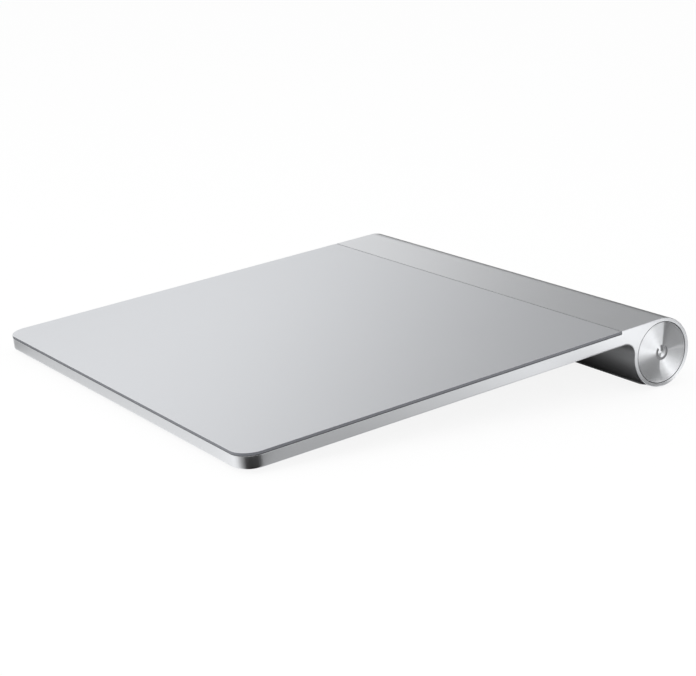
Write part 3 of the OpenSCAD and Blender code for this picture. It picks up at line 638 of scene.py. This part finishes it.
def chassis_edge(middle, one, other):
    """Width of the rounding at an edge of the chassis."""
    outside = abs(middle.x) > half_w - NEAR
    under = middle.z < -plate_t + NEAR
    round_tube = math.hypot(middle.y - tube_y, middle.z + tube_r)
    into_fillet = (middle.y - fillet_y) / fillet_r
    down_and_aside = min(one.z, other.z) < -0.9 and max(one.z, other.z) > -0.1
    if round_tube < bore_r + NEARBY:
        return hidden_edge
    if under and middle.y < fillet_y + NEAR and down_and_aside:
        at_front = middle.y < corner_r + NEAR and not inside_plan(middle)
        return edge_r if outside or at_front else hidden_edge
    if outside and 0 < into_fillet < 1 and middle.z < -plate_t + edge_r:
        return edge_r + (end_edge - edge_r) * into_fillet
    if outside and abs(round_tube - mouth_r) < NEARBY:
        return mouth_edge
    if outside:
        return end_edge
    if abs(middle.z - rim_z) < NEAR:
        return rim_edge
    return hidden_edge


def inside_plan(point):
    """Is a point of the plate further than a millimetre from its front and side edges?"""
    dx = max(abs(point.x) - (half_w - corner_r), 0)
    dy = max(corner_r - point.y, 0)
    return math.hypot(dx, dy) < corner_r - 1


rounded(chassis, chassis_edge, 4)
smoothed(chassis)
dressed(chassis, "pad_body", ["chassis"], "body_aluminium")

# %% [markdown]
# ## The glass sheet
# The glass has the same plan as the plate and a fine arris all round. Faces that look sideways belong to its
# ground edge and take the dark finish.

# %% Make the glass
arris, lower_arris, seam_play = 0.06, 0.04, 0.04
sheet = prism("glass_sheet", plan(0, glass_d - seam_play, 40), -glass_t, 0)
rounded(sheet, lambda middle, one, other: arris if middle.z > -NEAR else lower_arris, 3)
smoothed(sheet)
for face in sheet.data.polygons:
    face.material_index = int(abs(face.normal.z) < 0.5)
dressed(sheet, "pad_body", ["touch_glass"], "touch_glass", more=[glass_edge.material])
print("edge faces:", sum(face.material_index for face in sheet.data.polygons))

# %% [markdown]
# ## The power button
# The button is a thin disc in the tube's right end, almost flush with the rim. It is turned from a profile
# with its z axis pointing out of the tube, and the standard power mark, a ring with a gap and a bar, is sunk
# into it as geometry, so that the mark catches light from any side.

# %% Make the button
def end_matrix(side):
    """From a disc's own frame, z out of the tube and y up, to the flat frame in metres."""
    out = Matrix(((0, 0, side), (side, 0, 0), (0, 1, 0))).to_4x4()
    return Matrix.Translation(Vector((side * half_w, tube_y, -tube_r)) * MM) @ out


def disc_profile(radius, face, back, chamfer):
    """Profile of a solid disc with a small round on its rim; depths are measured inwards."""
    rim = arc((radius - chamfer, -face - chamfer), chamfer, 90, 0, 5)
    return [(0, -face), (radius * 0.5, -face), *rim, (radius, -back), (0, -back)]


MARK_R, MARK_INNER_R, MARK_GAP, MARK_DEPTH = 1.95, 1.26, 40, 0.16
BAR_HALF_W, BAR_LOW, BAR_HIGH = 0.34, 0.35, 1.98


def power_mark(face):
    """Tools for the power mark: a ring with a gap at its top, and a bar."""
    start, end = 90 + MARK_GAP, 450 - MARK_GAP
    ring = arc((0, 0), MARK_R, start, end, 60) + arc((0, 0), MARK_INNER_R, end, start, 60)
    yield prism("mark_ring", ring, -face - MARK_DEPTH, 1)
    bar = [(-BAR_HALF_W, BAR_LOW), (BAR_HALF_W, BAR_LOW), (BAR_HALF_W, BAR_HIGH), (-BAR_HALF_W, BAR_HIGH)]
    yield prism("mark_bar", bar, -face - MARK_DEPTH, 1)


button_low, button_high = flat_box("button_cap")
disc_r = (button_high.y - button_low.y) / 2
button_face, button_back = half_w - button_high.x, half_w - button_low.x
gap_trim, button_round = 0.09, 0.08
button_profile = disc_profile(disc_r + gap_trim, button_face, button_back, button_round)
button = turned_piece("power_button_disc", button_profile, 160)
for tool in power_mark(button_face):
    combine(button, tool)
smoothed(button, 30)
# Faces inside the sunk mark take the darker finish, painted shade for the recess.
for face in button.data.polygons:
    in_mark = math.hypot(face.center.x, face.center.y) < 1.5 * BAR_HIGH
    sunk = -MARK_DEPTH - NEAR < face.center.z + button_face < -NEAR
    face.material_index = int(in_mark and sunk)
dressed(button, "power_button", ["button_cap"], "turned_aluminium", end_matrix(1), more=[shaded_mark.material])

# %% [markdown]
# ## The battery cap
# The cap in the left end is unscrewed with a coin. Its head is turned like the button, with a milled slot;
# the plug behind it is moulded, with a coarse thread that shows when the cap comes out. The thread is not a
# set of rings but one helix: the radius of each point depends on its height and its angle together.

# %% Make the head of the battery cap
head_face = flat_box("cap_head")[0].x + half_w
head_back = flat_box("cap_plug")[0].x + half_w
head_round, head_arris = 0.12, 0.06
slot_half_run, slot_half_w, slot_depth = 4.6, 0.9, 1.0
head = turned_piece("battery_cap_head", disc_profile(disc_r, head_face, head_back, head_round), 160)
coin_slot = [(y, x) for x, y in capsule(slot_half_run, slot_half_w)]
combine(head, prism("coin_tool", coin_slot, -head_face - slot_depth, 1))
rounded(head, lambda middle, one, other: head_arris if middle.z > -head_face - NEAR else hidden_edge, 2, 40)
smoothed(head, 30)
dressed(head, "battery_cap", ["cap_head"], "turned_aluminium", end_matrix(-1))

# %% Make the threaded plug
plug_low, plug_high = flat_box("cap_plug")
plug_r = (plug_high.y - plug_low.y) / 2
plug_from, plug_to = plug_low.x + half_w, plug_high.x + half_w
thread_depth, lead, starts = 0.45, 5.0, 2
root_share, flank, runout = 0.25, 2.6, 0.5
neck, tail, plug_wall, plug_floor, pin_r = 2.0, 0.5, 1.5, 2.4, 0.6


def thread_height(height, angle):
    """0 in the root of the thread and 1 on its crest."""
    turn = starts * (height / lead - angle / (2 * math.pi))
    wave = abs((turn % 1) * 2 - 1)
    return min(1, max(0, (wave - root_share) * flank))


def threaded_plug(steps=120, rows=72):
    """Cup with a helical thread: outside, mouth, inside and floor, in rings of points."""
    bm = bmesh.new()
    angles = [2 * math.pi * i / steps for i in range(steps)]
    rings = []
    for row in range(rows + 1):
        depth = plug_from + (plug_to - plug_from) * row / rows
        after_neck, before_tail = depth - plug_from - neck, plug_to - tail - depth
        fade = min(1, max(0, after_neck / runout), max(0, before_tail / runout))
        ring = []
        for a in angles:
            r = plug_r - thread_depth * (1 - thread_height(depth, a)) * fade
            ring.append(bm.verts.new((r * math.cos(a), r * math.sin(a), -depth)))
        rings.append(ring)
    inner_r, floor_depth = plug_r - plug_wall, plug_from + plug_floor
    for r, depth in ((inner_r, plug_to), (inner_r, floor_depth), (pin_r, floor_depth)):
        rings.append([bm.verts.new((r * math.cos(a), r * math.sin(a), -depth)) for a in angles])
    for lower, upper in zip(rings, rings[1:]):
        for i in range(steps):
            bm.faces.new((lower[i - 1], lower[i], upper[i], upper[i - 1]))
    bm.faces.new(rings[0])
    bm.faces.new(rings[-1])
    return mesh_object("battery_cap_plug", bm)


plug = threaded_plug()
smoothed(plug, 40)
dressed(plug, "battery_cap", ["cap_plug"], "white_plastic", end_matrix(-1))

# %% [markdown]
# ## The underside
# A moulded cover closes the plate from below, two round feet stick out through it at the front, and a rubber
# strip runs along the tube. They are only a few simple forms, but their edges are soft: a moulded edge has a
# small radius, and rubber a larger one.

# %% Make the bottom cover
foot_low, foot_high = flat_box("right_foot_plunger")
foot_x, foot_y = (foot_low.x + foot_high.x) / 2, (foot_low.y + foot_high.y) / 2
stem_r, hole_r, cover_round = 4.2, 4.3, 0.12
cover = prism("cover_plate", plan(half_w - cover_high.x, cover_high.y), cover_low.z, cover_high.z)
for side in (-1, 1):
    hole = turned_piece("hole_tool", [(0, below), (hole_r, below), (hole_r, 1), (0, 1)], 96)
    hole.data.transform(Matrix.Translation((side * foot_x, foot_y, 0)))
    combine(cover, hole)
rounded(cover, lambda middle, one, other: cover_round if middle.z < cover_low.z + NEAR else hidden_edge, 3)
smoothed(cover)
dressed(cover, "pad_body", ["bottom_cover"], "cover_plastic")

# %% Make the feet
stem_z, collar_z = foot_low.z, cover_high.z
recess_r, recess, stem_round = 3.65, 0.55, 0.2
collar_r, collar_t, tip_r = 5.4, 0.4, 1.0
pad_r, pad_round, DESK = 3.6, 0.35, 9
for side, word in ((-1, "left"), (1, "right")):
    pad_low, pad_high = flat_box(f"{word}_foot_pad")
    place = Matrix.Translation((side * foot_x, foot_y, 0))
    ring = turned_piece(f"{word}_foot_ring", [
        (0, stem_z + recess), (recess_r, stem_z + recess), (recess_r, stem_z), (stem_r - stem_round, stem_z),
        *arc((stem_r - stem_round, stem_z + stem_round), stem_round, -90, 0, 4)[1:],
        (stem_r, collar_z), (collar_r, collar_z), (collar_r, collar_z + collar_t),
        (tip_r, collar_z + collar_t), (tip_r, foot_high.z), (0, foot_high.z)], 96)
    smoothed(ring, 30).data.transform(place)
    dressed(ring, f"{word}_foot", [f"{word}_foot_plunger"], "cover_plastic")
    pad = turned_piece(f"{word}_foot_rubber", [
        (0, pad_low.z), (pad_r * 0.6, pad_low.z),
        *arc((pad_r - pad_round, pad_low.z + pad_round), pad_round, -90, 0, 6),
        (pad_r, pad_high.z), (0, pad_high.z)], 96)
    desk = prism("desk_tool", [(-DESK, -DESK), (DESK, -DESK), (DESK, DESK), (-DESK, DESK)], -DESK, 0)
    desk_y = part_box(f"{word}_foot_pad")[0].y / MM + pad_r
    desk.data.transform(place.inverted() @ desk_to_flat(0) @ Matrix.Translation((side * foot_x, desk_y, 0)))
    combine(pad, desk)
    smoothed(pad, 30).data.transform(place)
    dressed(pad, f"{word}_foot", [f"{word}_foot_pad"], "foot_rubber")

# %% Make the rubber strip
strip_round, strip_arris = 0.25, 0.05
strip = prism("tube_foot_strip", capsule(strip_half_run, strip_half_w), 0, strip_top)
rounded(strip, lambda middle, one, other: strip_round if middle.z < NEAR else strip_arris, 4)
strip.data.transform(desk_to_flat(strip_y))
smoothed(strip)
dressed(strip, "pad_body", ["rear_foot_strip"], "foot_rubber")

# %% [markdown]
# ## The click domes
# Under each foot and behind the button sits a snap dome, a cap of spring steel half as thick as paper. It gives
# the click: pressed in its middle, it collapses until it is almost flat. Here each dome stands as it is at rest,
# so the piece that presses it cuts through it.

# %% Make the click domes
slots = {part["node"]: part["material_slot"] for part in frame["record"]["subparts"]}
CROWN_SHARE, DIMPLE_SHARE = 0.82, 0.16
FOOT_SHARE, DIMPLE_DEPTH = 0.12, 0.06
FOOT_KEEP, BUTTON_KEEP = 0.06, 0.08


def dome_profile(rim, height):
    """Profile of a snap dome that stands on 0: a thin flat rim, a crown and a dimple in its middle."""
    crown_r, foot_h, dimple = rim * CROWN_SHARE, height * FOOT_SHARE, height * DIMPLE_DEPTH
    rise = [math.radians(90 * i / 10) for i in range(11)]
    crown = [(crown_r * math.cos(a), foot_h + (height - foot_h) * math.sin(a)) for a in rise[:-1]]
    inner = [(r, h) for r, h in crown if r > rim * DIMPLE_SHARE]
    return [(0, 0), (rim, 0), (rim, foot_h), *inner, (rim * DIMPLE_SHARE, height), (0, height - dimple)]


def click_dome(word, pressed_from, travel_left):
    """Dome of a switch, turned, set on its seat and facing the way it is pressed; travel_left is not used."""
    low, high = flat_box(f"{word}_dome")
    size = high - low
    along = 0 if pressed_from.x else 2
    rim, height = size.y / 2, size[along]
    dome = turned_piece(f"{word}_click_dome", dome_profile(rim, height), 64)
    smoothed(dome, 50)
    seat = (low + high) / 2 - pressed_from * (height / 2)
    turn = pressed_from.to_track_quat("Z", "Y").to_matrix().to_4x4()
    dome.data.transform(Matrix.Translation(seat) @ turn)
    dressed(dome, "pad_body", [f"{word}_dome"], slots[f"{word}_dome"])
    axis, anchor = standing.to_3x3() @ pressed_from, standing @ (seat * MM)
    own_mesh(dome)
    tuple(axis)
    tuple(anchor)


for word in ("left", "right"):
    click_dome(word, Vector((0, 0, -1)), FOOT_KEEP)
click_dome("power", Vector((1, 0, 0)), BUTTON_KEEP)

# %% [markdown]
# ## The pieces inside
# The CAD shapes of the boards, switches, cables, cells and contacts are right as they are, so they stay and
# get the finish of their slot.

# %% Finish the CAD pieces that stay
kept = [name for name, node in nodes.items() if not node.hide_render]
for name in kept:
    node = nodes[name]
    node.data.materials.clear()
    node.data.materials.append(finishes[slots[name]])
print(len(kept), "CAD pieces keep their shape:", sorted(kept))

# %% [markdown]
# ## The studio
# The photograph has a plain white ground and very soft light. A large pale floor takes the shadow, the world
# is even white, and two soft lamps light the pad from the front and from above. Metal looks flat in an even
# white room, so photographers stand grey cards round it, just outside the picture, for the metal to mirror.
# The cards here are seen by reflections only: not by the camera, and they cast no shadow.

# %% Light the room
AMBIENT = 0.88


def looked_at(finish):
    """1 for rays that show a thing, straight or in a mirror, and 0 for rays that light another."""
    straight = finish.node("ShaderNodeLightPath", {}, {}, "Is Camera Ray")
    return straight + finish.node("ShaderNodeLightPath", {}, {}, "Is Glossy Ray")


def softbox(name, azimuth, elevation, away, width, height, radiance):
    """Area lamp that faces the object; metal doesn't mirror it, because the cards are there for that."""
    lamp = bpy.data.lights.new(name, "AREA")
    lamp.shape, lamp.size, lamp.size_y = "RECTANGLE", width, height
    lamp.energy = radiance * math.pi * width * height
    made = bpy.data.objects.new(name, lamp)
    bpy.context.scene.collection.objects.link(made)
    towards = direction(math.radians(azimuth), math.radians(elevation))
    made.location = towards * away
    made.rotation_mode = "QUATERNION"
    made.rotation_quaternion = towards.to_track_quat("Z", "Y")
    made.visible_glossy = False


world = bpy.data.worlds.new("studio")
bpy.context.scene.world = world
room = Finish("studio", world)
room.surface(Color=(1, 1, 1, 1), Strength=AMBIENT + (1 - AMBIENT) * looked_at(room))
softbox("front_softbox", azimuth=20, elevation=34, away=0.9, width=1.1, height=0.9, radiance=1.1)
softbox("overhead_softbox", azimuth=300, elevation=75, away=1.3, width=1.2, height=1.2, radiance=0.25)

# %% Lay the floor
WHITE_SHARE = 0.88
FLOOR_R, FLOOR_DROP = 6000, 0.2
paper = Finish("floor_paper")
fibre = paper.noise(1.2, 2)
paper.surface(
    Base_Color=paper.mixed(fibre, (0.93, 0.93, 0.93), (0.95, 0.95, 0.95)),
    Roughness=1.0,
    Specular_IOR_Level=0.0)
white = paper.node("ShaderNodeEmission", {}, {"Color": (1, 1, 1, 1), "Strength": 1.0})
paper.show(paper.node("ShaderNodeMixShader", {}, {
    0: looked_at(paper) * WHITE_SHARE, 1: Value(paper, paper.shader.outputs[0]), 2: white}))
floor = turned_piece("floor", [(0, -1), (FLOOR_R, -1), (FLOOR_R, 0), (0, 0)], 96)
floor.data.transform(Matrix.Scale(MM, 4) @ Matrix.Translation((0, 0, -FLOOR_DROP)))
floor.data.materials.append(paper.material)
print("floor at", round(floor.bound_box[1][2], 5))

# %% [markdown]
# A card is a sheet whose points carry a tone, from black to brighter than white, in an attribute of the mesh.
# One material reads that attribute as its glow, so a card is graded without any texture.

# %% Stand the cards
grey = Finish("grey_card")
own_tone = grey.node("ShaderNodeAttribute", {"attribute_name": "tone"}, {}, "Fac")
grey.show(grey.node("ShaderNodeEmission", {}, {"Color": own_tone, "Strength": 1.0}))
grey.tree.nodes.remove(grey.shader)


def card(name, rows):
    """Sheet through rows of (point, tone), seen by reflections only."""
    bm = bmesh.new()
    verts = [[bm.verts.new(point) for point, tone in row] for row in rows]
    for lower, upper in zip(verts, verts[1:]):
        for i in range(1, len(lower)):
            bm.faces.new((lower[i - 1], lower[i], upper[i], upper[i - 1]))
    sheet = mesh_object(name, bm)
    attribute = sheet.data.attributes.new("tone", "FLOAT", "POINT")
    for place, tone in zip(attribute.data, [tone for row in rows for point, tone in row]):
        place.value = tone
    sheet.data.materials.append(grey.material)
    sheet.visible_camera = sheet.visible_diffuse = sheet.visible_shadow = sheet.visible_transmission = False


def around(azimuth, elevation, away=0.8):
    """Point of an upright round wall, at an azimuth and elevation seen from the object, in degrees."""
    towards = direction(math.radians(azimuth), 0) * away
    return Vector((towards.x, towards.y, away * math.tan(math.radians(elevation))))


def shade(value, low, high):
    """0 below the low value and 1 above the high one, with a soft change between."""
    t = min(1, max(0, (value - low) / (high - low)))
    return t * t * (3 - 2 * t)


def rear_tone(azimuth, elevation):
    """Tone of the rear wall: dark behind, white on the left, with a slanting edge and a dark foot."""
    edge = 233.5 + 1.5 * (elevation - 21)
    dark = 0.02 + 0.34 * shade(azimuth, 185, 220)
    bright = 1.23 - 0.13 * shade(azimuth, 244, 258)
    tone = dark + (bright - dark) * shade(azimuth, edge - 8, edge + 8)
    low_band = shade(elevation, 7, 18)
    return tone * low_band + 0.03 * (1 - low_band)


elevations = [-1, 2, 4, 6, 8, 10, 12, 14, 16, 18, 20, 22, 24, 26, 30, 35, 40, 50, 60]
azimuths = list(range(180, 264, 3))
card("rear_card", [[(around(a, e), rear_tone(a, e)) for a in azimuths] for e in elevations])
card("front_wall_card", [[(around(a, e), 0.7 + 0.2 * shade(e, 4, 36)) for a in range(-24, 50, 6)]
                         for e in (0, 4, 10, 16, 24, 36)])
card("overhead_card", [[(Vector((x, y, 1.0)), tone) for x in (-0.6, 0.0, 0.6)] for y, tone in (
    (-0.6, 0.92), (-0.2, 0.84), (0.1, 0.7), (0.5, 0.58))])

# %% [markdown]
# The fans on the button have one sharp edge each. A turned face mirrors, at each angle round its centre, a
# whole cone of directions, so a sharp edge in the fans needs a card whose edge lies along the cone of that
# angle.

# %% Stand the card behind the button
FAN_EDGE = math.radians(87)
button_place = standing @ (Vector((half_w, tube_y, -tube_r)) * MM)
fan_axis = Vector((0, -math.sin(FAN_EDGE), math.cos(FAN_EDGE)))
to_camera = (camera.matrix_world.translation - button_place).normalized()
cone = -to_camera.dot(fan_axis)


def cone_azimuth(elevation):
    """Azimuth at which the cone of the fan's edge passes an elevation, all in degrees."""
    height = math.sin(math.radians(elevation))
    rearward = (cone - height * fan_axis.z) / fan_axis.y
    return math.degrees(math.acos(max(-1, -rearward / math.cos(math.radians(elevation)))))


def bright_tone(azimuth):
    """Tone of the card that lights the upper fan: brightest a little before the sharp edge."""
    return 0.75 + 0.48 * shade(azimuth, 90, 104) - 0.4 * shade(azimuth, 106, 122)


def fan_card(name, first, last, tone):
    """Upright card round the button between two azimuths, each a function of the elevation."""
    rows = []
    for e in (-0.6, 5, 10, 15, 20, 25, 30, 35, 40, 45):
        span = last(e) - first(e)
        steps = [first(e) + span * i / 16 for i in range(17)]
        rows.append([(around(a, e, 0.74) + button_place, tone(a)) for a in steps])
    card(name, rows)


fan_card("bright_fan_card", lambda e: 50, cone_azimuth, bright_tone)
fan_card("dark_fan_card", cone_azimuth, lambda e: 196, lambda azimuth: 0.22 * shade(azimuth, 124, 160))

# %% [markdown]
# Cards on the floor grade the lower fans, the walls of the plate and the tube. The card under the pad is painted
# shade: dark where the pad and the tube shade the floor, for their metal to mirror. The near corner mirrors a half
# circle of floor within a few pixels, so its card is a fan of spokes.

# %% Lay cards on the floor
LAYER, LAYERS = 0.02 * MM, 8
front_y, rear_y = cad_box[0].y / MM, cad_box[1].y / MM


def lying(x, y, layer):
    """Point on the floor, from millimetres; each layer lies a hair above the one before."""
    return Vector((x * MM, y * MM, (layer - LAYERS) * LAYER))


def floor_card(name, layer, xs, ys, tone):
    """Card on the floor over a grid of places in millimetres, with a tone for each."""
    card(name, [[(lying(x, y, layer), tone(x, y)) for x in xs] for y in ys])


def between(value, stops):
    """Tone at a value, straight between the stops around it."""
    for (low, from_tone), (high, to_tone) in zip(stops, stops[1:]):
        if value <= high:
            return from_tone + (to_tone - from_tone) * max(0, value - low) / (high - low)
    return stops[-1][1]


# The card under the pad is painted shade: dark beneath the pad and the tube, where the floor lies in their shadow.
under_shade_stops = [(0, 0.42), (34, 0.26), (43, 0.10), (47, 0.05), (50, 0.027), (53, 0.012)]
under_xs = [-64, -20, 20, 40, 50, 58, 64]
under_ys = [front_y + 2, -20, 0, 20, 34, 39, 43, 47, 50, 53, rear_y]
right_share = [(10, 0.3), (40, 0.45), (60, 1.0)]
floor_card("under_pad_shade_card", 1, under_xs, under_ys,
           lambda x, y: between(y, under_shade_stops) * between(x, right_share))
front_stops = [(-72, 0.33), (-64, 0.47), (-56, 0.61), (-46, 0.67), (-20, 0.73), (10, 0.80), (40, 0.86),
               (58, 0.95)]
floor_card("front_card", 2, [x for x, tone in front_stops], [front_y - 30, front_y - 0.5],
           lambda x, y: between(x, front_stops))
side_stops = [(-70, 0.43), (-52, 0.42), (-30, 0.435), (10, 0.64), (45, 0.94), (70, 1.28), (140, 1.3)]
floor_card("side_card", 3, [half_w - 0.5, half_w + 20, half_w + 150], [y for y, tone in side_stops],
           lambda x, y: between(y, side_stops))
floor_card("rear_floor_card", 4, [-700, 0, 40], [rear_y + 25, rear_y + 60, 700], lambda x, y: 0.03)


def button_floor_card(name, layer, rows):
    """Card on the floor beside the button, from rows of (x past the pad's side, y, tone)."""
    card(name, [[(lying(half_w + x, y, layer), tone) for x, y, tone in row] for row in rows])


button_floor_card("near_button_card", 5, [
    [(1.5, 42, 0.24), (12, 46, 0.31), (22, 48, 0.34), (34, 50, 0.42), (46, 52, 0.72)],
    [(1.5, 50, 0.24), (12, 56, 0.30), (20, 59, 0.36), (29, 63, 0.74), (38, 66, 1.12)],
    [(1.5, 59.5, 0.24), (10, 66, 0.24), (17, 71, 0.4), (24, 77, 1.1), (32, 80, 1.4)]])
button_floor_card("graded_button_card", 6, [
    [(1, 59, 0.24), (4, 61, 0.24)], [(1, 62, 0.5), (5, 64.5, 0.5)], [(1, 65.5, 1.35), (8, 69.5, 1.35)],
    [(1, 72, 0.95), (14, 77, 0.95)], [(2, 80, 0.45), (26, 88, 0.55)], [(3, 95, 0.30), (36, 100, 0.34)],
    [(3, 100, 0.29), (40, 104, 0.3)]])
button_floor_card("ring_card", 7, [
    [(34, 84, 1.2), (46, 88, 2.0), (70, 94, 2.4)], [(46, 103, 1.2), (58, 106, 2.4), (84, 112, 2.4)]])
button_floor_card("far_button_card", 8, [
    [(12, 94, 0.26), (92, 121, 0.1)], [(-200, 780, 0.21), (620, 480, 0.1)]])
corner_stops = [(-62, 0.97), (-44, 1.06), (-28, 0.95), (-10, 0.58), (6, 0.27), (22, 0.05), (34, 0.0),
                (96, 0.0), (106, 0.05), (116, 0.24), (126, 0.38)]
CORNER_LAYER, CORNER_LOOKS, CORNER_OUT = 7, math.radians(60), 3.5
pivot = Vector((half_w - corner_r, front_y + corner_r, 0)) + direction(CORNER_LOOKS, 0) * CORNER_OUT
corner_rows = []
for reach in (0.5, 60):
    spokes = [(pivot + direction(math.radians(a), 0) * reach, tone) for a, tone in corner_stops]
    corner_rows.append([(lying(point.x, point.y, CORNER_LAYER), tone) for point, tone in spokes])
card("corner_card", corner_rows)

# %% [markdown]
# ## The view
# The view transform is the plain one, so that a colour in a finish is the colour on the screen.

# %% Set the view transform
bpy.context.scene.view_settings.view_transform = "Standard"
bpy.context.view_layer.update()
